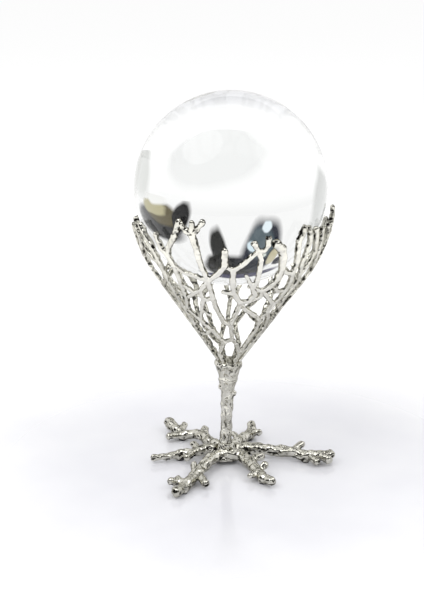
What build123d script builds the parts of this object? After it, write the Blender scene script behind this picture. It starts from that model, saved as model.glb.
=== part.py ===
"""Crystal ball on a cast coral stand.

A solid glass ball rests in an open basket of branching coral fronds. The fronds are brazed to each
other and to a crown, the crown stands on a short trunk, and the trunk stands on a hub with six
spreading roots. One threaded rod ties crown, trunk and hub together, with its nut under the hub.

Millimetres. +Z is up, and the table is z = 0. The origin is the point of the table under the middle
of the whole piece. The pieces are drawn round the ball's upright axis, which stands a little to the
left of it, and they are moved there when they are saved. Azimuth is measured round the ball's axis
from -Y, the front, towards +X.
"""
from build123d import *
import math
import os

# ---- driving dimensions -------------------------------------------------------------------------
BALL_DIAMETER = 100.0
BALL_CENTRE_Z = 152.0
BALL_AXIS_X = -2.75        # from the origin to the ball's axis

# The basket's branches lie on a funnel: a cone that bends upright towards its lip.
FUNNEL_APEX_Z = 47.9
FUNNEL_HALF_ANGLE = math.radians(34.9)
FUNNEL_INSET = 1.95        # from the cone's outer face to the branches' centrelines, across
CONE_TOP_Z = 108.0
LIP_Z = 146.0
FUNNEL_LEAN_DEG = 1.1      # the funnel leans about the point where it crosses the ball's axis
FUNNEL_CROSSING = (0.0, 0.0, 110.0)

# The trunk leans a little, so its parts are made upright and then moved to this axis.
TRUNK_FOOT = (-3.3, 0.0, 0.0)
TRUNK_LEAN_DEG = 2.0

HUB_BOTTOM_Z = 1.6
HUB_TOP_Z = 11.0
TRUNK_TOP_Z = 48.0
CROWN_TOP_Z = 59.0
SPIGOT_RADIUS = 2.9
SPIGOT_HEIGHT = 1.5

# Outlines of (radius, height), turned round the trunk's axis.
HUB_OUTLINE = [
    (0, HUB_BOTTOM_Z), (7.2, HUB_BOTTOM_Z), (7.8, 3.2), (7.0, 5.4), (5.0, 8), (4.0, HUB_TOP_Z), (0, HUB_TOP_Z),
]
TRUNK_OUTLINE = [
    (0, HUB_TOP_Z), (3.4, HUB_TOP_Z), (3.05, 18), (3.15, 30), (3.6, 40), (4.8, TRUNK_TOP_Z), (0, TRUNK_TOP_Z),
]
CROWN_OUTLINE = [
    (0, TRUNK_TOP_Z), (4.8, TRUNK_TOP_Z), (5.5, 51), (7.6, 57), (7.1, 58.5), (5.0, CROWN_TOP_Z),
    (0, CROWN_TOP_Z),
]
# The bark's knots: height, azimuth, distance of the knot's centre from the trunk's axis, radius.
TRUNK_KNOTS = [
    (40, 78, 3.1, 2.0), (43.5, -70, 3.2, 1.9), (30, 100, 2.3, 1.4), (37, -5, 2.5, 1.5),
    (24, -60, 2.2, 1.3), (27, 170, 2.2, 1.5), (45, 150, 3.2, 1.8), (17, 40, 2.1, 1.4),
]

ROD_RADIUS = 2.0
ROD_CLEARANCE = 0.2
ROD_CHAMFER = 0.4
ROD_END_Z = 2.4
ROD_TOP_Z = 56.0
NUT_ACROSS_FLATS = 7.0
NUT_HEIGHT = 3.2
NUT_CHAMFER = 0.5
WASHER_RADIUS = 4.5
WASHER_HEIGHT = 0.8
RECESS_RADIUS = 5.2
RECESS_TOP_Z = 7.0
RECESS_MARGIN = 0.8        # between the hub's recess and the roots

FOOT_FLAT_Z = 0.8          # the roots' feet are ground flat here, and the pads fill the rest
FOOT_RADIUS = 3.0
FOOT_CENTRE_Z = 2.8
PAD_RADIUS = 2.0
GROUND_SIDE = 200.0        # of the block that the feet are ground with

SPUR_RADIUS = 1.3
SPUR_GAP = 0.2             # between a spur's end and the ball

# The branches are slimmer low in the funnel, by these shares of the radii given below.
SLIM_LOW = 0.70
SLIM_HIGH = 0.90
SLIM_LOW_Z = 70.0
SLIM_HIGH_Z = 115.0

KNUCKLE = 1.04             # a joint's ball beside the thickest branch that ends there
HALF_TURN = 180.0

# ---- the fronds -------------------------------------------------------------------------------
# Each branch is (first radius, last radius, [(azimuth, height), ...]). A frond is made for the
# front half of the basket, and the same casting is used again half a turn round. A branch that
# ends on an earlier frond is cut to it, as a brazed twig is.
FRONDS = {
    "left": [
        (2.0, 1.8, [(-76, 55), (-74, 63), (-64, 71), (-60, 77), (-56, 84), (-53, 92)]),
        (1.8, 1.7, [(-53, 92), (-52, 102), (-50, 111), (-50, 119), (-53, 127), (-59, 133), (-62, 137)]),
        (1.6, 1.6, [(-53, 92), (-46, 94), (-39, 101), (-37, 112), (-37, 120)]),
        (1.7, 1.6, [(-37, 120), (-40, 125), (-38, 130), (-34, 135), (-31, 140), (-30, 144)]),
        (1.5, 1.6, [(-40, 125), (-44, 128), (-46, 132), (-47, 135)]),
        (1.8, 1.6, [(-64, 71), (-76, 77), (-80, 86), (-77, 95), (-71, 103), (-73, 111), (-78, 118)]),
        (1.6, 1.8, [(-78, 118), (-80, 125), (-78, 134)]),
        (1.5, 1.7, [(-78, 118), (-72, 124), (-69, 131), (-70, 135)]),
        (1.5, 1.4, [(-71, 103), (-62, 106), (-50, 111)]),
        (1.4, 1.4, [(-77, 95), (-66, 94), (-53, 92)]),
        (1.5, 1.3, [(-50, 119), (-58, 121), (-63, 125)]),
    ],
    "front_left": [
        (2.1, 1.8, [(-31, 55), (-31, 65), (-10, 74)]),
        (1.6, 1.6, [(-10, 74), (4, 76), (2, 81), (0, 86)]),
        (1.6, 1.6, [(0, 86), (-7, 88), (-12, 95), (-14, 103), (-15, 114)]),
        (1.6, 1.8, [(-15, 114), (-17, 120), (-19, 126), (-20, 132), (-22, 138)]),
        (1.6, 1.4, [(-22, 138), (-26, 140), (-28, 143)]),
        (1.5, 1.4, [(-22, 138), (-22, 144)]),
        (1.6, 1.4, [(-22, 138), (-19, 141), (-16, 145)]),
        (1.6, 1.9, [(-15, 114), (-9, 118), (-4, 123), (-4, 131)]),
        (1.7, 1.6, [(-10, 74), (-17, 77), (-25, 82), (-36, 87), (-47, 93)]),
        (1.5, 1.5, [(-39, 101), (-29, 105), (-22, 108), (-15, 114)]),
        (1.5, 1.5, [(-29, 105), (-34, 109)]),
        (1.5, 1.3, [(-14, 103), (-20, 102), (-25, 104)]),
        (1.4, 1.4, [(-22, 108), (-23, 101), (-28, 95), (-36, 87)]),
        (1.4, 1.3, [(-28, 95), (-21, 92)]),
        (1.5, 1.4, [(-15, 114), (-22, 116), (-30, 117), (-37, 120)]),
        (1.5, 1.4, [(-25, 82), (-38, 78), (-60, 77)]),
    ],
    "front": [
        (2.0, 1.8, [(16, 55), (30, 65), (13, 73)]),
        (1.6, 1.5, [(13, 73), (4, 76)]),
        (1.6, 1.7, [(0, 86), (5, 93), (8, 101)]),
        (1.8, 1.6, [(8, 101), (2, 107), (1, 114), (1, 121)]),
        (1.4, 1.5, [(2, 107), (-5, 108)]),
        (1.5, 1.5, [(1, 121), (-4, 123)]),
        (1.6, 1.5, [(1, 121), (5, 123), (11, 128), (15, 131)]),
        (1.4, 1.6, [(15, 131), (12, 135)]),
        (1.4, 1.7, [(15, 131), (18, 131), (20, 134), (20, 137)]),
        (1.5, 1.6, [(15, 131), (17, 126), (17, 120), (17, 115), (15, 110)]),
        (1.5, 1.1, [(15, 110), (12, 114), (9, 118)]),
        (1.6, 1.7, [(15, 110), (18, 106), (15, 102), (8, 101)]),
        (1.6, 1.6, [(8, 101), (14, 96), (25, 92), (35, 88), (38, 82), (36, 73), (30, 65)]),
    ],
    "front_right": [
        (1.7, 1.8, [(30, 65), (48, 69), (56, 75), (55, 82), (48, 88), (39, 93)]),
        (1.6, 1.6, [(39, 93), (38, 99), (29, 104), (23, 108)]),
        (1.5, 1.4, [(39, 93), (35, 88)]),
        (1.6, 1.6, [(23, 108), (15, 110)]),
        (1.5, 1.5, [(23, 108), (23, 104), (15, 102)]),
        (1.7, 2.5, [(23, 108), (27, 110), (31, 114), (32, 120), (31, 126), (29, 131), (25, 134)]),
        (1.6, 1.6, [(39, 93), (44, 100), (46, 106), (45, 111), (43, 116)]),
        (1.4, 1.4, [(43, 116), (38, 117), (32, 120)]),
        (1.7, 1.8, [(43, 116), (43, 122), (41, 128), (40, 134), (43, 140)]),
        (1.4, 1.3, [(46, 106), (37, 106), (33, 109)]),
    ],
    "right": [
        (2.0, 1.8, [(68, 55), (72, 66), (76, 76), (70, 84), (64, 91)]),
        (1.6, 1.6, [(64, 91), (55, 94), (53, 101), (55, 108), (52, 114)]),
        (1.6, 1.7, [(52, 114), (56, 119), (59, 125), (57, 131), (54, 138)]),
        (1.5, 1.4, [(55, 108), (46, 106)]),
        (1.7, 1.8, [(64, 91), (70, 98), (73, 105), (74, 112), (79, 119), (82, 126), (82, 133)]),
        (1.6, 1.6, [(52, 114), (48, 120), (49, 127), (50, 133), (47, 140)]),
        (1.6, 1.7, [(74, 112), (69, 117), (66, 124), (64, 131), (61, 137)]),
        (1.5, 1.7, [(82, 133), (75, 133), (71, 137)]),
        (1.4, 1.4, [(76, 76), (64, 79), (55, 82)]),
        (1.4, 1.3, [(73, 105), (64, 105), (55, 108)]),
        (1.4, 1.4, [(82, 126), (91, 123), (102, 118)]),
        (1.4, 1.4, [(73, 105), (86, 99), (103, 95)]),
        (1.4, 1.4, [(76, 76), (90, 74), (104, 77)]),
    ],
}
# The front half alone has this taller tip.
TALL_TIP = ("right", (1.8, 1.3, [(82, 133), (84, 139), (84, 144)]))
# The ball rests on spurs that point from the branches to its centre: frond and where the spur starts.
SPURS = {"left": (-50, 111), "front": (1, 114), "right": (55, 108)}

# ---- the roots ----------------------------------------------------------------------------------
# Each run is (first radius, last radius, [(x, y, height), ...]). The foot is where the pad goes.
ROOTS = {
    "front_left": ((-24.6, -41), [
        (3.2, 2.9, [(-4, -3, 6), (-9, -8, 5.4), (-14, -16, 4.6), (-18, -26, 3.9)]),
        (2.9, 2.6, [(-18, -26, 3.9), (-21.5, -34, 3.3), (-24.6, -41, 3.1)]),
        (2.6, 2.4, [(-24.6, -41, 3.1), (-28.2, -47, 3.4)]),
        (2.2, 1.9, [(-18, -26, 3.9), (-20, -21, 6.4)]),
        (2.1, 1.9, [(-18, -26, 3.9), (-14.5, -33, 3.5), (-13.4, -37, 3.6)]),
        (2.2, 2.0, [(-23, -38, 3.2), (-28, -34, 3.8), (-31, -36, 4.2)]),
    ]),
    "front_right": ((16.8, -29), [
        (3.2, 2.8, [(-3, -4, 6), (5.5, -5, 5.4), (10.4, -13, 4.6), (14, -22, 3.7)]),
        (2.8, 2.5, [(14, -22, 3.7), (16.8, -29, 3.1), (21, -34, 3.5)]),
        (2.1, 1.9, [(10.4, -13, 4.6), (13, -9, 5.8), (16.2, -8, 6)]),
        (2.0, 1.8, [(14, -22, 3.7), (10.6, -28, 3.6)]),
        (1.9, 1.7, [(14, -22, 3.7), (18, -20, 6)]),
    ]),
    "right": ((41, -1.5), [
        (3.2, 2.8, [(-1, 2, 6.4), (8, 4, 5.6), (22, 3.4, 4.8), (33, 2, 4.2), (41, -1.5, 3.3)]),
        (2.7, 2.7, [(41, -1.5, 3.3), (48, -2.6, 4.2), (54, -2, 4.6)]),
        (2.2, 2.0, [(34, 1.6, 4.2), (37, 5, 5.8), (39, 6.6, 6.6)]),
        (2.0, 1.8, [(43, -2.4, 3.6), (46.6, -8.6, 3.2)]),
        (2.2, 2.0, [(48, -2.6, 4.2), (53, -7, 3.6)]),
    ]),
    "back_right": ((10.5, 29), [
        (3.0, 2.5, [(-2, 4, 6.2), (3, 13, 5.2), (7, 22, 4.2), (10.5, 29, 3.1), (12, 34, 3.8), (12, 39, 4.6)]),
        (2.1, 2.0, [(10.5, 29, 3.1), (13, 30.5, 4), (15.6, 28, 4.8)]),
        (1.9, 1.7, [(5, 17.5, 4.7), (1.5, 24, 5.4)]),
    ]),
    "back_left": ((-28, 29), [
        (3.2, 2.5, [(-5, 3, 6.2), (-11, 12, 5.4), (-16, 22, 4.8), (-20, 27, 4.2), (-28, 29, 3.1)]),
        (2.6, 3.0, [(-28, 29, 3.1), (-32, 36, 3.8), (-36, 44, 4.6)]),
        (2.4, 2.2, [(-16, 22, 4.8), (-15, 29, 6.6)]),
        (2.2, 2.0, [(-28, 29, 3.1), (-35, 26, 3.8)]),
        (2.0, 1.8, [(-29.5, 31.5, 3.2), (-27, 40, 5.2)]),
    ]),
    "left": ((-28, 1.2), [
        (3.2, 2.5, [(-7, 1, 6.2), (-14, 4, 5.2), (-21, 1, 4.3), (-28, 1.2, 3.2)]),
        (1.8, 1.6, [(-28, 1.2, 3.2), (-35, -1.4, 3), (-42.4, -3.6, 3.3)]),
        (2.1, 1.9, [(-18, 2.5, 4.8), (-21, 7.5, 6.2)]),
        (2.1, 1.9, [(-21, 1, 4.3), (-24, -5, 4.4)]),
    ]),
}


# ---- geometry helpers ---------------------------------------------------------------------------
def funnel_radius(z):
    """Distance of the branches' centrelines from the funnel's axis at a height."""
    def cone(height):
        return (height - FUNNEL_APEX_Z) * math.tan(FUNNEL_HALF_ANGLE) - FUNNEL_INSET

    if z <= CONE_TOP_Z:
        return cone(z)
    bend = (LIP_Z - CONE_TOP_Z) / math.sin(FUNNEL_HALF_ANGLE)
    lip = cone(CONE_TOP_Z) + bend * (1 - math.cos(FUNNEL_HALF_ANGLE))
    return lip - bend + math.sqrt(bend**2 - (LIP_Z - z) ** 2)


def funnel_point(azimuth, z):
    """The point of a branch's centreline at an azimuth and a height, on the upright funnel."""
    angle = math.radians(azimuth)
    radius = funnel_radius(z)
    return Vector(radius * math.sin(angle), -radius * math.cos(angle), z)


def on_funnel(turn):
    """Where a piece of the upright funnel goes: turned round it, then leaned with it."""
    crossing = Location(FUNNEL_CROSSING)
    return crossing * Location((0, 0, 0), (0, FUNNEL_LEAN_DEG, turn)) * crossing.inverse()


def tapered_rod(start, end, radius_start, radius_end):
    """A round rod between two points, from one radius to the other."""
    along = end - start
    frame = Plane(origin=start, z_dir=along)
    if abs(radius_start - radius_end) < 0.01:
        return Solid.make_cylinder(radius_start, along.length, frame)
    return Solid.make_cone(radius_start, radius_end, along.length, frame)


def grown(branches, upright):
    """One solid from branches of (first radius, last radius, points).

    A branch is straight tapered rods with a ball at each bend, end and fork. The rods cover a ball's
    poles. On the upright funnel the poles are up and down and the seam faces outward; on the lying
    roots they are along the branch.
    """
    rods = []
    joints = {}
    for radius_start, radius_end, points in branches:
        runs = [(b - a).length for a, b in zip(points, points[1:])]
        gone = [sum(runs[:i]) / sum(runs) for i in range(len(points))]
        radii = [radius_start + (radius_end - radius_start) * share for share in gone]
        rods += [
            tapered_rod(a, b, ra, rb)
            for a, b, ra, rb in zip(points, points[1:], radii, radii[1:])
        ]
        for i, (point, radius) in enumerate(zip(points, radii)):
            key = tuple(round(c, 3) for c in point)
            along = points[min(i + 1, len(points) - 1)] - points[max(i - 1, 0)]
            runs_through = 0 < i < len(points) - 1
            widest, first_along = joints.get(key, (0.0, along))
            joints[key] = (max(widest, radius), along if runs_through else first_along)
    balls = []
    for (x, y, z), (radius, along) in joints.items():
        if upright:
            frame = Plane(origin=(x, y, z), x_dir=(x, y, 0), z_dir=(0, 0, 1))
        else:
            frame = Plane(origin=(x, y, z), z_dir=along)
        balls.append(Solid.make_sphere(radius * KNUCKLE, frame))
    return balls[0].fuse(*balls[1:], *rods)


def largest(shape, *others):
    """What is left of a shape outside the others, without the ends that came through them."""
    for other in others:
        shape = shape - other
    return max(shape.solids(), key=lambda solid: solid.volume)


def on_trunk(shape):
    """Moves a piece made upright round Z to the leaning trunk's axis."""
    return shape.moved(Location(TRUNK_FOOT, (0, TRUNK_LEAN_DEG, 0)))


def turned(outline):
    """A solid turned round Z from an outline of (radius, height) points."""
    face = make_face(Polyline(*[(r, 0, z) for r, z in outline], close=True))
    return revolve(face, Axis.Z)


def save(name, shape):
    """Writes one sub-part, moved from round the ball's axis to its place from the origin."""
    placed = shape.moved(Location((BALL_AXIS_X, 0, 0)))
    placed.label = name
    export_step(placed, f"parts/{name}.step")
    print(f"{name}: {len(shape.solids())} solid(s), {shape.volume:.0f} mm3")


# ---- the pieces ---------------------------------------------------------------------------------
def make_ball():
    return Solid.make_sphere(BALL_DIAMETER / 2, Plane(origin=(0, 0, BALL_CENTRE_Z)))


def slim(z):
    """How slim the branches are at a height."""
    share = (z - SLIM_LOW_Z) / (SLIM_HIGH_Z - SLIM_LOW_Z)
    return SLIM_LOW + (SLIM_HIGH - SLIM_LOW) * min(max(share, 0.0), 1.0)


def funnel_branches(drawn):
    """Branches on the upright funnel, with the radii of their heights."""
    return [
        (first * slim(points[0][1]), last * slim(points[-1][1]), [funnel_point(*point) for point in points])
        for first, last, points in drawn
    ]


def make_spur(name, turn):
    """A short branch from a frond to just off the ball."""
    foot = (on_funnel(turn) * Pos(funnel_point(*SPURS[name]))).position
    to_ball = Vector(0, 0, BALL_CENTRE_Z) - foot
    reach = to_ball.length - BALL_DIAMETER / 2 - SPUR_GAP
    return tapered_rod(foot, foot + to_ball.normalized() * reach, SPUR_RADIUS, SPUR_RADIUS * 0.9)


def placed_frond(name, casting, turn):
    """A frond's casting in its place, with its spur and, in the front half, its taller tip."""
    frond = casting.moved(on_funnel(turn))
    if name in SPURS:
        frond = frond.fuse(make_spur(name, turn))
    if turn == 0.0 and name == TALL_TIP[0]:
        tip = grown(funnel_branches([TALL_TIP[1]]), upright=True)
        frond = frond.fuse(tip.moved(on_funnel(turn)))
    return frond


def crown_body():
    """The cone that carries the fronds, still without its holes."""
    return on_trunk(turned(CROWN_OUTLINE))


def make_crown():
    """The crown, bored from below for the trunk's spigot and tapped for the rod."""
    bottom = Plane(origin=(0, 0, TRUNK_TOP_Z))
    socket = Solid.make_cylinder(SPIGOT_RADIUS, SPIGOT_HEIGHT, bottom)
    tapped = Solid.make_cylinder(ROD_RADIUS, ROD_TOP_Z - TRUNK_TOP_Z, bottom)
    return crown_body() - on_trunk(socket) - on_trunk(tapped)


def make_trunk():
    """The hollow stem, with a spigot at each end and bark knots."""
    body = turned(TRUNK_OUTLINE)
    for z, azimuth, reach, radius in TRUNK_KNOTS:
        angle = math.radians(azimuth)
        body += Solid.make_sphere(
            radius, Plane(origin=(reach * math.sin(angle), -reach * math.cos(angle), z))
        )
    for z in (HUB_TOP_Z - SPIGOT_HEIGHT, TRUNK_TOP_Z):
        body += Solid.make_cylinder(SPIGOT_RADIUS, SPIGOT_HEIGHT, Plane(origin=(0, 0, z)))
    bore = Solid.make_cylinder(
        ROD_RADIUS + ROD_CLEARANCE, TRUNK_TOP_Z, Plane(origin=(0, 0, HUB_TOP_Z - 2 * SPIGOT_HEIGHT))
    )
    return on_trunk(body - bore)


def make_hub():
    """The root crown, hollowed underneath for the nut."""
    body = turned(HUB_OUTLINE)
    cuts = [
        Solid.make_cylinder(RECESS_RADIUS, RECESS_TOP_Z, Plane.XY),
        Solid.make_cylinder(ROD_RADIUS + ROD_CLEARANCE, HUB_TOP_Z, Plane.XY),
        Solid.make_cylinder(SPIGOT_RADIUS, SPIGOT_HEIGHT, Plane(origin=(0, 0, HUB_TOP_Z - SPIGOT_HEIGHT))),
    ]
    for cut in cuts:
        body -= cut
    return on_trunk(body)


def make_rod():
    """The threaded rod, with chamfered ends."""
    rod = turned([
        (0, ROD_END_Z), (ROD_RADIUS - ROD_CHAMFER, ROD_END_Z), (ROD_RADIUS, ROD_END_Z + ROD_CHAMFER),
        (ROD_RADIUS, ROD_TOP_Z - ROD_CHAMFER), (ROD_RADIUS - ROD_CHAMFER, ROD_TOP_Z), (0, ROD_TOP_Z),
    ])
    return on_trunk(rod)


def make_washer():
    z = RECESS_TOP_Z - WASHER_HEIGHT
    ring = Solid.make_cylinder(WASHER_RADIUS, WASHER_HEIGHT, Plane(origin=(0, 0, z)))
    return on_trunk(ring - Solid.make_cylinder(ROD_RADIUS + ROD_CLEARANCE, 2 * z, Plane.XY))


def make_nut():
    z = RECESS_TOP_Z - WASHER_HEIGHT - NUT_HEIGHT
    corner = NUT_ACROSS_FLATS / math.sqrt(3)
    nut = extrude(Plane(origin=(0, 0, z)) * RegularPolygon(corner, 6), NUT_HEIGHT)
    dome = turned([
        (0, z), (corner - NUT_CHAMFER, z), (corner, z + NUT_CHAMFER), (corner, z + NUT_HEIGHT - NUT_CHAMFER),
        (corner - NUT_CHAMFER, z + NUT_HEIGHT), (0, z + NUT_HEIGHT),
    ])
    return on_trunk((nut & dome) - Solid.make_cylinder(ROD_RADIUS, 2 * z + NUT_HEIGHT, Plane.XY))


def make_root(name):
    """A root with its ground foot, before it is cut to the hub."""
    foot, runs = ROOTS[name]
    branches = [(first, last, [Vector(*p) for p in points]) for first, last, points in runs]
    root = grown(branches, upright=False)
    root = root.fuse(Solid.make_sphere(FOOT_RADIUS, Plane(origin=(*foot, FOOT_CENTRE_Z))))
    ground = Box(GROUND_SIDE, GROUND_SIDE, GROUND_SIDE, align=(Align.CENTER, Align.CENTER, Align.MAX))
    return root - Pos(0, 0, FOOT_FLAT_Z) * ground


def make_pad(name):
    (x, y), _ = ROOTS[name]
    return Solid.make_cylinder(PAD_RADIUS, FOOT_FLAT_Z, Plane(origin=(x, y, 0)))


# ---- assembly -----------------------------------------------------------------------------------
def main():
    os.makedirs("parts", exist_ok=True)
    save("crystal_ball", make_ball())

    save("crown", make_crown())
    save("trunk", make_trunk())
    save("tie_rod", make_rod())
    save("washer", make_washer())
    save("nut", make_nut())

    castings = {name: grown(funnel_branches(drawn), upright=True) for name, drawn in FRONDS.items()}
    neighbours = [crown_body()]
    for turn, half in ((0.0, "front"), (HALF_TURN, "back")):
        for name, casting in castings.items():
            frond = largest(placed_frond(name, casting, turn), *neighbours)
            neighbours.append(frond)
            save(f"frond_{half}_{name}", frond)

    hub = make_hub()
    save("root_hub", hub)
    nut_space = on_trunk(Solid.make_cylinder(RECESS_RADIUS + RECESS_MARGIN, HUB_TOP_Z, Plane.XY))
    placed = [hub, nut_space]
    for name in ROOTS:
        root = largest(make_root(name), *placed)
        placed.append(root)
        save(f"root_{name}", root)
    save("foot_pads", Compound(children=[make_pad(name) for name in ROOTS]))


main()
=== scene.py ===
"""Crystal ball on a cast coral stand: the cast surfaces, the glass, the light and the camera.

Metres, in the CAD's frame: +Z up, the table at z = 0, the front towards -Y.
"""
import math

import bmesh
import bpy
import numpy as np
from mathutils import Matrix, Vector, noise


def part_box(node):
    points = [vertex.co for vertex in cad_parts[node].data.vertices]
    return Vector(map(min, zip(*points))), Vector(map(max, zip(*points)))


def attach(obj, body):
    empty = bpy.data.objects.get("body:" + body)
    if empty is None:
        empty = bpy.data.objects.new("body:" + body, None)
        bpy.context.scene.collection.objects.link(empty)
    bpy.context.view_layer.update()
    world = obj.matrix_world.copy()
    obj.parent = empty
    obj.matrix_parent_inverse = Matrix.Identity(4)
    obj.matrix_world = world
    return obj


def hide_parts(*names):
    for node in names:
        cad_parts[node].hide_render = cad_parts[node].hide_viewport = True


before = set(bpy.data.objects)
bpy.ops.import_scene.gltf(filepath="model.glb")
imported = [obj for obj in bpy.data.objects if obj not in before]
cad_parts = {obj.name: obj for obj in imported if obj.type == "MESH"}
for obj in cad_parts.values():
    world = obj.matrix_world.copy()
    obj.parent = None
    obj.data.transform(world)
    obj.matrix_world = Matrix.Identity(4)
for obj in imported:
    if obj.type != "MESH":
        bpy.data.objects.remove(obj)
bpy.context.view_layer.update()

MM = 0.001

# ---- places taken from the frame --------------------------------------------------------------
BALL_LOW, BALL_HIGH = (Vector(corner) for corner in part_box("crystal_ball"))
BALL_CENTRE = (BALL_LOW + BALL_HIGH) / 2
BALL_RADIUS = (BALL_HIGH.z - BALL_LOW.z) / 2
BALL_AXIS = np.array((BALL_CENTRE.x, BALL_CENTRE.y, 0.0))
CROWN_BOTTOM_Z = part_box("crown")[0][2]
FRONDS = sorted(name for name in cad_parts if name.startswith("frond_"))
ROOTS = sorted(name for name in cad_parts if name.startswith("root_") and name != "root_hub")
LIP_Z = max(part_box(name)[1][2] for name in FRONDS)

# The funnel that the fronds lie on is a cone that bends upright towards its lip.
CONE_TOP_Z = BALL_LOW.z + 6 * MM
CONE_ANGLE = math.radians(34.9)

# ---- the castings' surface --------------------------------------------------------------------
VOXEL = 0.33 * MM
SOFTEN_FACTOR = 0.5
SOFTEN_PASSES = 5

# A branch's ground face: where its surface looks out of the funnel, from a little to squarely.
BRANCH_RADIUS = 1.35 * MM
FLAT_AT = 0.62             # the face is ground flat at this share of the branch's radius
FACE_FROM = 0.35
FACE_FULL = 0.8
FACE_SMOOTHER = 0.85       # so much less lumpy than the sides
FACE_UNPITTED = 0.1        # takes off most of the pits left on it

# A frond's tips, which change all the way from the first height to the second.
TIPS_FROM_Z = LIP_Z - 22 * MM
TIPS_FULL_Z = LIP_Z - 6 * MM
TIPS_ROUGHER = 0.5         # so much lumpier than the sides
TIPS_LESS_FLAT = 0.6
TIPS_LESS_BRIGHT = 0.5
TIPS_STAIN = 0.7           # as dark as this share of a pit

FROND_SWELL = 0.04 * MM
TIPS_SWELL = 0.22 * MM
FROND_PIT_DEPTH = 0.4 * MM

ROOT_SWELL = 0.1 * MM
ROOT_PIT_DEPTH = 0.55 * MM
ROOT_LOWEST_Z = 0.35 * MM  # no lump of a root comes nearer to the table

BARK_STRETCH = (1, 1, 0.25)
BARK_PIT_STRETCH = (1, 1, 0.4)
BARK_PIT_SHARE = 0.7
BARK_PIT_DEPTH = 0.4 * MM
BRAZE_BEAD_DEPTH = 0.45 * MM
BRAZE_BEAD_SIZE = 1.2 * MM

# Each casting has its own four stretches of one endless field of noise, a step apart.
SEEDS_EACH = 4
FROND_SEED = 3
ROOT_SEED = 53
TRUNK_SEED = 91
SEED_STEP = Vector((17.3, 5.7, 29.1))

SMALLEST_RADIUS = 1e-6     # so that nothing is divided by nought on the funnel's axis

BALL_SEGMENTS = 256
BALL_RINGS = 128

# ---- colours ----------------------------------------------------------------------------------
NICKEL_DULL = (0.45, 0.44, 0.385)
NICKEL_BRIGHT = (0.78, 0.765, 0.695)
NICKEL_GROUND = (0.93, 0.915, 0.84)
# near-black for the pits: partly real tarnish, partly painted shade in the hollows
NICKEL_TARNISH_AND_SHADE = (0.008, 0.0075, 0.0065)

RAMP_FROM = 0.3            # noise seldom leaves this middle part of its range
RAMP_TO = 0.7

# ---- the floor, by distance from the stand's middle -------------------------------------------
FLOOR_REACH = 12.0
FLOOR_GREY_TO = 0.06
FLOOR_WHITE_FROM = 0.24
FLOOR_GREY_LOW = (0.69, 0.69, 0.73)
FLOOR_GREY_HIGH = (0.74, 0.74, 0.77)
FLOOR_WHITE = (0.975, 0.975, 0.975, 1)

# ---- the camera -------------------------------------------------------------------------------
CAMERA_PLACE = Vector((BALL_CENTRE.x, -0.605, 0.269))
CAMERA_PITCH = math.radians(16.3)
CAMERA_LENS = 71.46
CAMERA_SHIFT_X = -19 / 600

# ---- the studio -------------------------------------------------------------------------------
# Lights: name, place, diameter, watts.
LIGHTS = (
    ("key", (-0.7, -0.5, 1.3), 1.1, 7.0),
    ("fill", (0.9, -0.4, 1.0), 0.9, 3.0),
)

# Cards seen in the glass alone: name, azimuth, elevation, width, height, colour, distance, turn.
# All but colour and distance are in degrees, as seen from the ball's centre. The far ones stand
# for the things behind the ball, which it shows small, dark and upside down. The near ones, at
# under half a metre, are pale and give the clear glass its greys.
GLASS_CARDS = (
    ("far_dark", -2, 30, 32, 28, (0.004, 0.005, 0.008), 1.50, 0),
    ("far_slant_low", 5, 15, 8, 26, (0.010, 0.011, 0.009), 1.49, 4),
    ("far_slant_high", 5.5, 27, 13, 26, (0.006, 0.006, 0.005), 1.48, 0),
    ("far_navy", -14, 17, 21, 38, (0.006, 0.010, 0.024), 1.46, 0),
    ("far_haze", -13, 13, 13, 22, (0.11, 0.145, 0.165), 1.44, 14),
    ("far_violet", -6, 40, 46, 8, (0.02, 0.018, 0.08), 1.44, 0),
    ("far_spark_a", -14, 4, 5, 6, (0.85, 0.95, 1.0), 1.40, 0),
    ("far_spark_b", -8.5, 13, 4, 8, (0.75, 0.88, 0.95), 1.38, 20),
    ("far_spark_c", -15, 20, 4, 3, (0.70, 0.75, 0.70), 1.38, 0),
    ("far_cream", -21, 23, 6, 15, (0.60, 0.55, 0.38), 1.42, 0),
    ("far_end", -27, 28, 8, 9, (0.01, 0.012, 0.03), 1.43, 40),
    ("left_dark", 40, 8, 46, 20, (0.006, 0.006, 0.008), 1.50, 0),
    ("left_horn", 21, 2, 9, 21, (0.003, 0.003, 0.004), 1.47, -35),
    ("left_olive", 33, 2, 30, 12, (0.12, 0.10, 0.05), 1.46, 0),
    ("left_warm", 39, 0, 26, 9, (0.50, 0.46, 0.28), 1.44, 0),
    ("left_pale", 37, -6, 22, 10, (0.97, 0.97, 0.95), 1.42, 0),
    ("left_grey", 57, -17, 46, 27, (0.80, 0.81, 0.79), 0.34, -25),
    ("left_edge", 68, -12, 26, 30, (0.68, 0.69, 0.66), 0.32, -20),
    ("left_rim", 80, 2, 26, 50, (0.66, 0.66, 0.64), 0.45, 0),
    ("right_grey", -55, 3, 34, 46, (0.68, 0.69, 0.68), 0.40, 15),
    ("veil", 6, -21, 40, 24, (0.975, 0.98, 0.978), 0.30, 10),
)

# The dark room, seen in the plating alone, along its edges and in its lumps: name, azimuth,
# elevation, width, height, colour.
ROOM_DISTANCE = 1.8
ROOM_CARDS = (
    ("room_front", 180, 28, 96, 52, (0.015, 0.014, 0.013)),
    ("room_left", 108, 14, 56, 60, (0.012, 0.011, 0.010)),
    ("room_right", -108, 14, 56, 60, (0.012, 0.011, 0.010)),
    ("room_top", 20, 78, 44, 34, (0.22, 0.21, 0.19)),
    ("room_back", 10, 47, 60, 24, (0.04, 0.037, 0.033)),
)

CARD_CORNERS = 48
CARD_SOLID_SHARE = 0.72    # the card fades from here out to its rim
CARD_RAGGED = 0.16         # how far the rim wanders, as a share of the card's size
CARD_WANDER = 1.6          # how quickly it wanders


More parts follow.
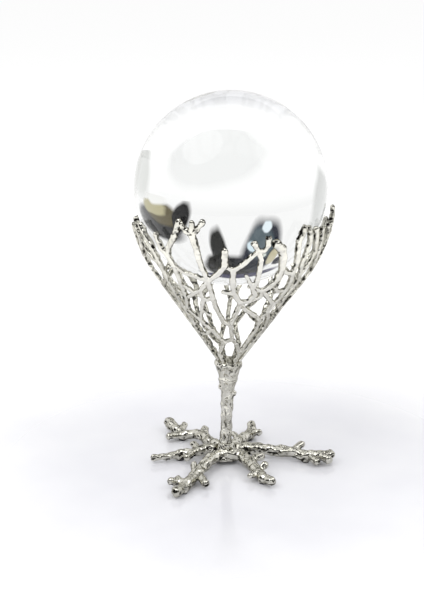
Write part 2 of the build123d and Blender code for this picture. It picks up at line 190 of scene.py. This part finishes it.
# ---- mesh helpers -----------------------------------------------------------------------------
def add_object(name, data):
    """A new object in the scene."""
    piece = bpy.data.objects.new(name, data)
    bpy.context.scene.collection.objects.link(piece)
    return piece


def smoothstep(low, high, value):
    """0 below low, 1 above high, and a smooth rise between."""
    share = np.clip((value - low) / (high - low), 0.0, 1.0)
    return share * share * (3 - 2 * share)


def noise_at(places, size, seed):
    """Smooth noise from -1 to 1 at each place, with lumps about size across."""
    start = SEED_STEP * seed
    return np.array([noise.noise(Vector(place) / size + start) for place in places.tolist()])


def relief(places, depth, size, seed):
    """Lumps and dips up to depth, about size across."""
    return depth * noise_at(places, size, seed)


def patches(places, size, low, high, seed):
    """Patches about size across: 1 where the noise is above high, fading to 0 below low."""
    return smoothstep(low, high, noise_at(places, size, seed))


def cast_copy(node):
    """A fine, even, softened copy of a CAD casting's mesh, which stands for the node."""
    piece = add_object(node + "_cast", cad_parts[node].data.copy())
    remesh = piece.modifiers.new("remesh", "REMESH")
    remesh.mode = "VOXEL"
    remesh.voxel_size = VOXEL
    soften = piece.modifiers.new("soften", "SMOOTH")
    soften.factor = SOFTEN_FACTOR
    soften.iterations = SOFTEN_PASSES
    ready = piece.evaluated_get(bpy.context.evaluated_depsgraph_get())
    mesh = bpy.data.meshes.new_from_object(ready)
    piece.modifiers.clear()
    piece.data = mesh
    mesh.materials.clear()
    mesh.shade_smooth()
    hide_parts(node)
    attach(piece, "stand")
    return piece


def places_and_normals(mesh):
    """Two arrays, one row for each vertex."""
    places = np.empty(len(mesh.vertices) * 3, dtype=np.float32)
    normals = np.empty(len(mesh.vertices) * 3, dtype=np.float32)
    mesh.vertices.foreach_get("co", places)
    mesh.vertex_normals.foreach_get("vector", normals)
    return places.reshape(-1, 3).astype(float), normals.reshape(-1, 3).astype(float)


def set_shape(mesh, places, pit, ground):
    """Moves the vertices, and stores marks from 0 to 1 for the plating.

    pit is how deep in a pit a vertex lies, and ground how far its face was ground bright.
    """
    mesh.vertices.foreach_set("co", places.astype(np.float32).ravel())
    for name, values in (("pit", pit), ("ground", ground)):
        layer = mesh.attributes.new(name, "FLOAT", "POINT")
        layer.data.foreach_set("value", np.clip(values, 0, 1).astype(np.float32))
    mesh.update()


def funnel_outward(places):
    """Unit vectors square to the funnel, pointing out of it."""
    radial = (places - BALL_AXIS) * (1, 1, 0)
    radial /= np.maximum(np.linalg.norm(radial, axis=1, keepdims=True), SMALLEST_RADIUS)
    upright = smoothstep(CONE_TOP_Z, LIP_Z, places[:, 2])
    slope = CONE_ANGLE * (1 - upright)
    return radial * np.cos(slope)[:, None] - np.outer(np.sin(slope), (0, 0, 1))


# ---- the castings -----------------------------------------------------------------------------
def shape_frond(piece, seed):
    """Flattens the branches' outer faces, and leaves their sides and tips lumpy, pitted and stained."""
    mesh = piece.data
    places, normals = places_and_normals(mesh)
    facing = np.sum(normals * funnel_outward(places), axis=1)
    face = smoothstep(FACE_FROM, FACE_FULL, facing)
    tips = smoothstep(TIPS_FROM_Z, TIPS_FULL_Z, places[:, 2])
    rough = 1.0 - FACE_SMOOTHER * face + TIPS_ROUGHER * tips
    lumps = (relief(places, depth=0.42 * MM, size=2.8 * MM, seed=seed)
             + relief(places, depth=0.17 * MM, size=1.2 * MM, seed=seed + 1))
    holes = patches(places, size=1.9 * MM, low=0.1, high=0.36, seed=seed + 2)
    holes *= rough - FACE_UNPITTED
    flat = -BRANCH_RADIUS * np.maximum(0.0, facing - FLAT_AT) * (1 - TIPS_LESS_FLAT * tips)
    swell = FROND_SWELL + TIPS_SWELL * tips
    push = lumps * rough + flat + swell - FROND_PIT_DEPTH * holes
    stain = tips * (1 - face) * patches(places, size=1.5 * MM, low=-0.25, high=0.25, seed=seed + 3)
    moved = places + normals * push[:, None]
    set_shape(mesh, moved, pit=holes + TIPS_STAIN * stain, ground=face * (1 - TIPS_LESS_BRIGHT * tips))


def shape_root(piece, seed):
    """Makes a root knobbly all round, darkens its underside with pits as painted shade, and keeps its
    foot on the table.
    """
    mesh = piece.data
    places, normals = places_and_normals(mesh)
    lumps = (relief(places, depth=0.85 * MM, size=4.6 * MM, seed=seed)
             + relief(places, depth=0.4 * MM, size=2.0 * MM, seed=seed + 1))
    holes = patches(places, size=2.4 * MM, low=0.12, high=0.38, seed=seed + 2)
    # The dark pits gather on the roots' undersides and fade out on their tops: painted shade under the
    # roots, on top of the tarnish.
    underside = -normals[:, 2] + relief(places, depth=0.8, size=7 * MM, seed=seed + 3)
    holes *= smoothstep(low=-0.6, high=0.2, value=underside)
    moved = places + normals * (ROOT_SWELL + lumps - ROOT_PIT_DEPTH * holes)[:, None]
    moved[:, 2] = np.maximum(moved[:, 2], ROOT_LOWEST_Z)
    set_shape(mesh, moved, pit=holes, ground=np.zeros(len(holes)))


def shape_trunk(piece, seed):
    """Bark: long upright ridges, with lumps and pits, and a bead of braze where the crown sits."""
    mesh = piece.data
    places, normals = places_and_normals(mesh)
    ridges = relief(places * BARK_STRETCH, depth=0.34 * MM, size=1.9 * MM, seed=seed)
    lumps = (relief(places, depth=0.4 * MM, size=3.2 * MM, seed=seed + 1)
             + relief(places, depth=0.18 * MM, size=1.3 * MM, seed=seed + 2))
    holes = BARK_PIT_SHARE * patches(
        places * BARK_PIT_STRETCH, size=1.5 * MM, low=0.25, high=0.55, seed=seed + 3)
    bead = BRAZE_BEAD_DEPTH * np.exp(-((places[:, 2] - CROWN_BOTTOM_Z) / BRAZE_BEAD_SIZE) ** 2)
    moved = places + normals * (ridges + lumps + bead - BARK_PIT_DEPTH * holes)[:, None]
    set_shape(mesh, moved, pit=holes, ground=np.zeros(len(holes)))


def make_castings(material):
    """All the metal that shows."""
    for nodes, shape, first_seed in (
        (FRONDS, shape_frond, FROND_SEED),
        (ROOTS + ["root_hub"], shape_root, ROOT_SEED),
        (["trunk", "crown"], shape_trunk, TRUNK_SEED),
    ):
        for i, node in enumerate(nodes):
            piece = cast_copy(node)
            shape(piece, first_seed + i * SEEDS_EACH)
            piece.data.materials.append(material)


def make_ball(material):
    """The polished ball, as a fine smooth sphere."""
    mesh = bpy.data.meshes.new("crystal_ball_glass")
    sphere = bmesh.new()
    bmesh.ops.create_uvsphere(sphere, u_segments=BALL_SEGMENTS, v_segments=BALL_RINGS, radius=BALL_RADIUS)
    bmesh.ops.translate(sphere, verts=sphere.verts, vec=BALL_CENTRE)
    sphere.to_mesh(mesh)
    sphere.free()
    mesh.shade_smooth()
    mesh.materials.append(material)
    piece = add_object("crystal_ball_glass", mesh)
    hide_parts("crystal_ball")
    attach(piece, "ball")


# ---- materials --------------------------------------------------------------------------------
class Material:
    """A node material with one Principled shader, and short ways to add nodes to it."""

    def __init__(self, name):
        self.material = bpy.data.materials.new(name)
        self.material.use_nodes = True
        self.tree = self.material.node_tree
        self.shader = self.tree.nodes["Principled BSDF"]

    def set(self, **values):
        """Sets the shader's own sockets; an underscore stands for a space."""
        for name, value in values.items():
            self.shader.inputs[name.replace("_", " ")].default_value = value

    def node(self, kind, **settings):
        made = self.tree.nodes.new(kind)
        for name, value in settings.items():
            setattr(made, name, value)
        return made

    def link(self, source, target):
        self.tree.links.new(source, target)

    def feed(self, source, socket):
        """Links a node's output to one of the shader's sockets."""
        self.link(source, self.shader.inputs[socket])

    def noise(self, size, detail=3.0):
        """Noise in the object's own space, with lumps about size across."""
        where = self.node("ShaderNodeTexCoord")
        made = self.node("ShaderNodeTexNoise")
        made.inputs["Scale"].default_value = 1 / size
        made.inputs["Detail"].default_value = detail
        self.link(where.outputs["Object"], made.inputs["Vector"])
        return made.outputs["Fac"]

    def ramp(self, source, low, high):
        """A colour ramp from low to high."""
        made = self.node("ShaderNodeValToRGB")
        for element, place, colour in zip(made.color_ramp.elements, (RAMP_FROM, RAMP_TO), (low, high)):
            element.position = place
            element.color = (*colour, 1)
        self.link(source, made.inputs["Fac"])
        return made.outputs["Color"]

    def span(self, source, low, high):
        """Maps 0..1 to low..high."""
        made = self.node("ShaderNodeMapRange")
        made.inputs["To Min"].default_value = low
        made.inputs["To Max"].default_value = high
        self.link(source, made.inputs["Value"])
        return made.outputs["Result"]

    def marked(self, colour, mark, marked_colour, share):
        """The colour, turned by up to a share into another where the mesh bears a mark."""
        layer = self.node("ShaderNodeAttribute", attribute_name=mark)
        mix = self.node("ShaderNodeMix", data_type="RGBA")
        self.link(self.span(layer.outputs["Fac"], 0.0, share), mix.inputs["Factor"])
        self.link(colour, mix.inputs["A"])
        mix.inputs["B"].default_value = (*marked_colour, 1)
        return mix.outputs["Result"]

    def bump(self, source, depth):
        made = self.node("ShaderNodeBump")
        made.inputs["Strength"].default_value = 1.0
        made.inputs["Distance"].default_value = depth
        self.link(source, made.inputs["Height"])
        self.feed(made.outputs["Normal"], "Normal")


def nickel_material():
    """Nickel plate: bright where it is ground, uneven on the sides, and black in the pits, which is
    partly tarnish and partly painted shade.
    """
    nickel = Material("nickel_plate")
    nickel.set(Metallic=1.0, Specular_Tint=(0.32, 0.31, 0.28, 1))
    plate = nickel.ramp(nickel.noise(size=5 * MM), low=NICKEL_DULL, high=NICKEL_BRIGHT)
    plate = nickel.marked(plate, "ground", NICKEL_GROUND, share=0.7)
    # The pits go near black: partly real tarnish, partly painted shade in the hollows.
    plate = nickel.marked(plate, "pit", NICKEL_TARNISH_AND_SHADE, share=1.0)
    nickel.feed(plate, "Base Color")
    nickel.feed(nickel.span(nickel.noise(size=1.5 * MM), low=0.03, high=0.24), "Roughness")
    nickel.bump(nickel.noise(size=0.8 * MM, detail=4.0), depth=0.05 * MM)
    return nickel.material


def glass_material():
    """Optical glass, polished, with the faintest haze of handling."""
    glass = Material("crystal_glass")
    glass.set(Base_Color=(0.938, 0.945, 0.94, 1), IOR=1.52, Transmission_Weight=1.0)
    glass.set(Specular_Tint=(0.35, 0.35, 0.35, 1))
    glass.feed(glass.span(glass.noise(size=20 * MM, detail=5.0), low=0.0, high=0.012), "Roughness")
    return glass.material


def steel_material():
    """Zinc-plated steel, a little uneven."""
    steel = Material("zinc_steel")
    steel.set(Metallic=1.0)
    spangle = steel.noise(size=0.8 * MM, detail=4.0)
    steel.feed(steel.ramp(spangle, low=(0.50, 0.51, 0.53), high=(0.66, 0.67, 0.68)), "Base Color")
    steel.feed(steel.span(spangle, low=0.25, high=0.42), "Roughness")
    steel.bump(spangle, depth=0.03 * MM)
    return steel.material


def felt_material():
    """Dark felt, with a fuzzy, matted surface."""
    felt = Material("dark_felt")
    felt.set(Roughness=0.95, Sheen_Weight=0.35)
    fibres = felt.noise(size=0.35 * MM, detail=6.0)
    felt.feed(felt.ramp(fibres, low=(0.03, 0.03, 0.035), high=(0.09, 0.09, 0.1)), "Base Color")
    felt.bump(fibres, depth=0.15 * MM)
    return felt.material


def finish_nodes(material, *nodes):
    """Gives CAD nodes that stay in view their material."""
    for node in nodes:
        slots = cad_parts[node].data.materials
        slots.clear()
        slots.append(material)


def floor_material():
    """Pale board, greyer and glossier round the stand, and plain white further out."""
    board = Material("pale_board")
    where = board.node("ShaderNodeTexCoord")
    away = board.node("ShaderNodeVectorMath", operation="LENGTH")
    board.link(where.outputs["Object"], away.inputs[0])
    share = board.node("ShaderNodeMapRange", interpolation_type="SMOOTHSTEP")
    share.inputs["From Min"].default_value = FLOOR_GREY_TO
    share.inputs["From Max"].default_value = FLOOR_WHITE_FROM
    board.link(away.outputs["Value"], share.inputs["Value"])
    near = board.ramp(board.noise(size=0.05, detail=2.0), low=FLOOR_GREY_LOW, high=FLOOR_GREY_HIGH)
    mix = board.node("ShaderNodeMix", data_type="RGBA")
    board.link(share.outputs["Result"], mix.inputs["Factor"])
    board.link(near, mix.inputs["A"])
    mix.inputs["B"].default_value = FLOOR_WHITE
    board.feed(mix.outputs["Result"], "Base Color")
    board.feed(board.span(share.outputs["Result"], low=0.12, high=0.6), "Roughness")
    board.feed(board.span(share.outputs["Result"], low=0.5, high=0.0), "Specular IOR Level")
    return board.material


def card_material(name, colour):
    """A studio card of one brightness, which fades out towards its edge."""
    card = bpy.data.materials.new(name)
    card.use_nodes = True
    tree = card.node_tree
    tree.nodes.clear()
    glow = tree.nodes.new("ShaderNodeEmission")
    glow.inputs["Color"].default_value = (*colour, 1)
    clear = tree.nodes.new("ShaderNodeBsdfTransparent")
    solid = tree.nodes.new("ShaderNodeAttribute")
    solid.attribute_name = "solid"
    mix = tree.nodes.new("ShaderNodeMixShader")
    out = tree.nodes.new("ShaderNodeOutputMaterial")
    tree.links.new(solid.outputs["Fac"], mix.inputs[0])
    tree.links.new(clear.outputs["BSDF"], mix.inputs[1])
    tree.links.new(glow.outputs["Emission"], mix.inputs[2])
    tree.links.new(mix.outputs["Shader"], out.inputs["Surface"])
    return card


# ---- the scene --------------------------------------------------------------------------------
def on_sky(azimuth, elevation, distance):
    """A point seen from the ball's centre; azimuth from +Y, behind it, towards +X, in degrees."""
    turn = math.radians(azimuth)
    rise = math.radians(elevation)
    flat = Vector((math.sin(turn), math.cos(turn), 0)) * math.cos(rise)
    return BALL_CENTRE + (flat + Vector((0, 0, math.sin(rise)))) * distance


def make_card(name, azimuth, elevation, width, height, colour, distance, turn, in_glass):
    """An oval card that faces the ball, and is seen in the glass alone or in the metal alone.

    Its sizes are in degrees from the ball's centre. Its middle is solid and its rim fades, as
    things far behind the ball look through it.
    """
    half_w = distance * math.tan(math.radians(width / 2))
    half_h = distance * math.tan(math.radians(height / 2))
    rim, solid = [], []
    for share, density in ((CARD_SOLID_SHARE, 1.0), (1.0, 0.0)):
        for i in range(CARD_CORNERS):
            angle = 2 * math.pi * i / CARD_CORNERS
            x, y = math.cos(angle), math.sin(angle)
            ragged = 1 + CARD_RAGGED * noise.noise(Vector((x, y, azimuth)) * CARD_WANDER)
            rim.append((half_w * share * ragged * x, half_h * share * ragged * y, 0))
            solid.append(density)
    ring = [(i, (i + 1) % CARD_CORNERS, CARD_CORNERS + (i + 1) % CARD_CORNERS, CARD_CORNERS + i)
            for i in range(CARD_CORNERS)]
    mesh = bpy.data.meshes.new(name)
    mesh.from_pydata(rim, [], [tuple(range(CARD_CORNERS))] + ring)
    mesh.attributes.new("solid", "FLOAT", "POINT").data.foreach_set("value", solid)
    mesh.materials.append(card_material(name, colour))
    card = add_object(name, mesh)
    card.location = on_sky(azimuth, elevation, distance)
    card.rotation_euler = (BALL_CENTRE - card.location).to_track_quat("Z", "Y").to_euler()
    card.rotation_euler.rotate_axis("Z", math.radians(turn))
    card.visible_camera = False
    card.visible_diffuse = False
    card.visible_shadow = False
    card.visible_transmission = in_glass
    card.visible_glossy = not in_glass


def make_studio():
    """The white surroundings, the floor, the lights and the cards."""
    world = bpy.data.worlds.new("white_studio")
    world.use_nodes = True
    world.node_tree.nodes["Background"].inputs["Color"].default_value = (1, 1, 1, 1)
    world.node_tree.nodes["Background"].inputs["Strength"].default_value = 1.0
    bpy.context.scene.world = world
    bpy.context.scene.view_settings.view_transform = "Standard"

    mesh = bpy.data.meshes.new("floor")
    corners = [(FLOOR_REACH * x, FLOOR_REACH * y, 0) for x, y in ((-1, -1), (1, -1), (1, 1), (-1, 1))]
    mesh.from_pydata(corners, [], [(0, 1, 2, 3)])
    mesh.materials.append(floor_material())
    floor = add_object("floor", mesh)

    for name, place, size, power in LIGHTS:
        light = bpy.data.lights.new(name, "AREA")
        light.shape = "DISK"
        light.size = size
        light.energy = power
        lamp = add_object(name, light)
        lamp.location = place
        lamp.rotation_euler = (BALL_CENTRE - lamp.location).to_track_quat("-Z", "Y").to_euler()

    for card in GLASS_CARDS:
        make_card(*card, in_glass=True)
    for card in ROOM_CARDS:
        make_card(*card, distance=ROOM_DISTANCE, turn=0, in_glass=False)


def make_camera():
    """The camera, at the photograph's viewing angle."""
    data = bpy.data.cameras.new("camera")
    data.sensor_width = 36.0
    data.lens = CAMERA_LENS
    data.shift_x = CAMERA_SHIFT_X
    data.clip_start = 0.01
    data.clip_end = 60.0
    camera = add_object("camera", data)
    camera.location = CAMERA_PLACE
    camera.rotation_euler = (math.pi / 2 - CAMERA_PITCH, 0, 0)
    bpy.context.scene.camera = camera


make_castings(nickel_material())
make_ball(glass_material())
finish_nodes(steel_material(), "tie_rod", "washer", "nut")
finish_nodes(felt_material(), "foot_pads")
make_studio()
make_camera()
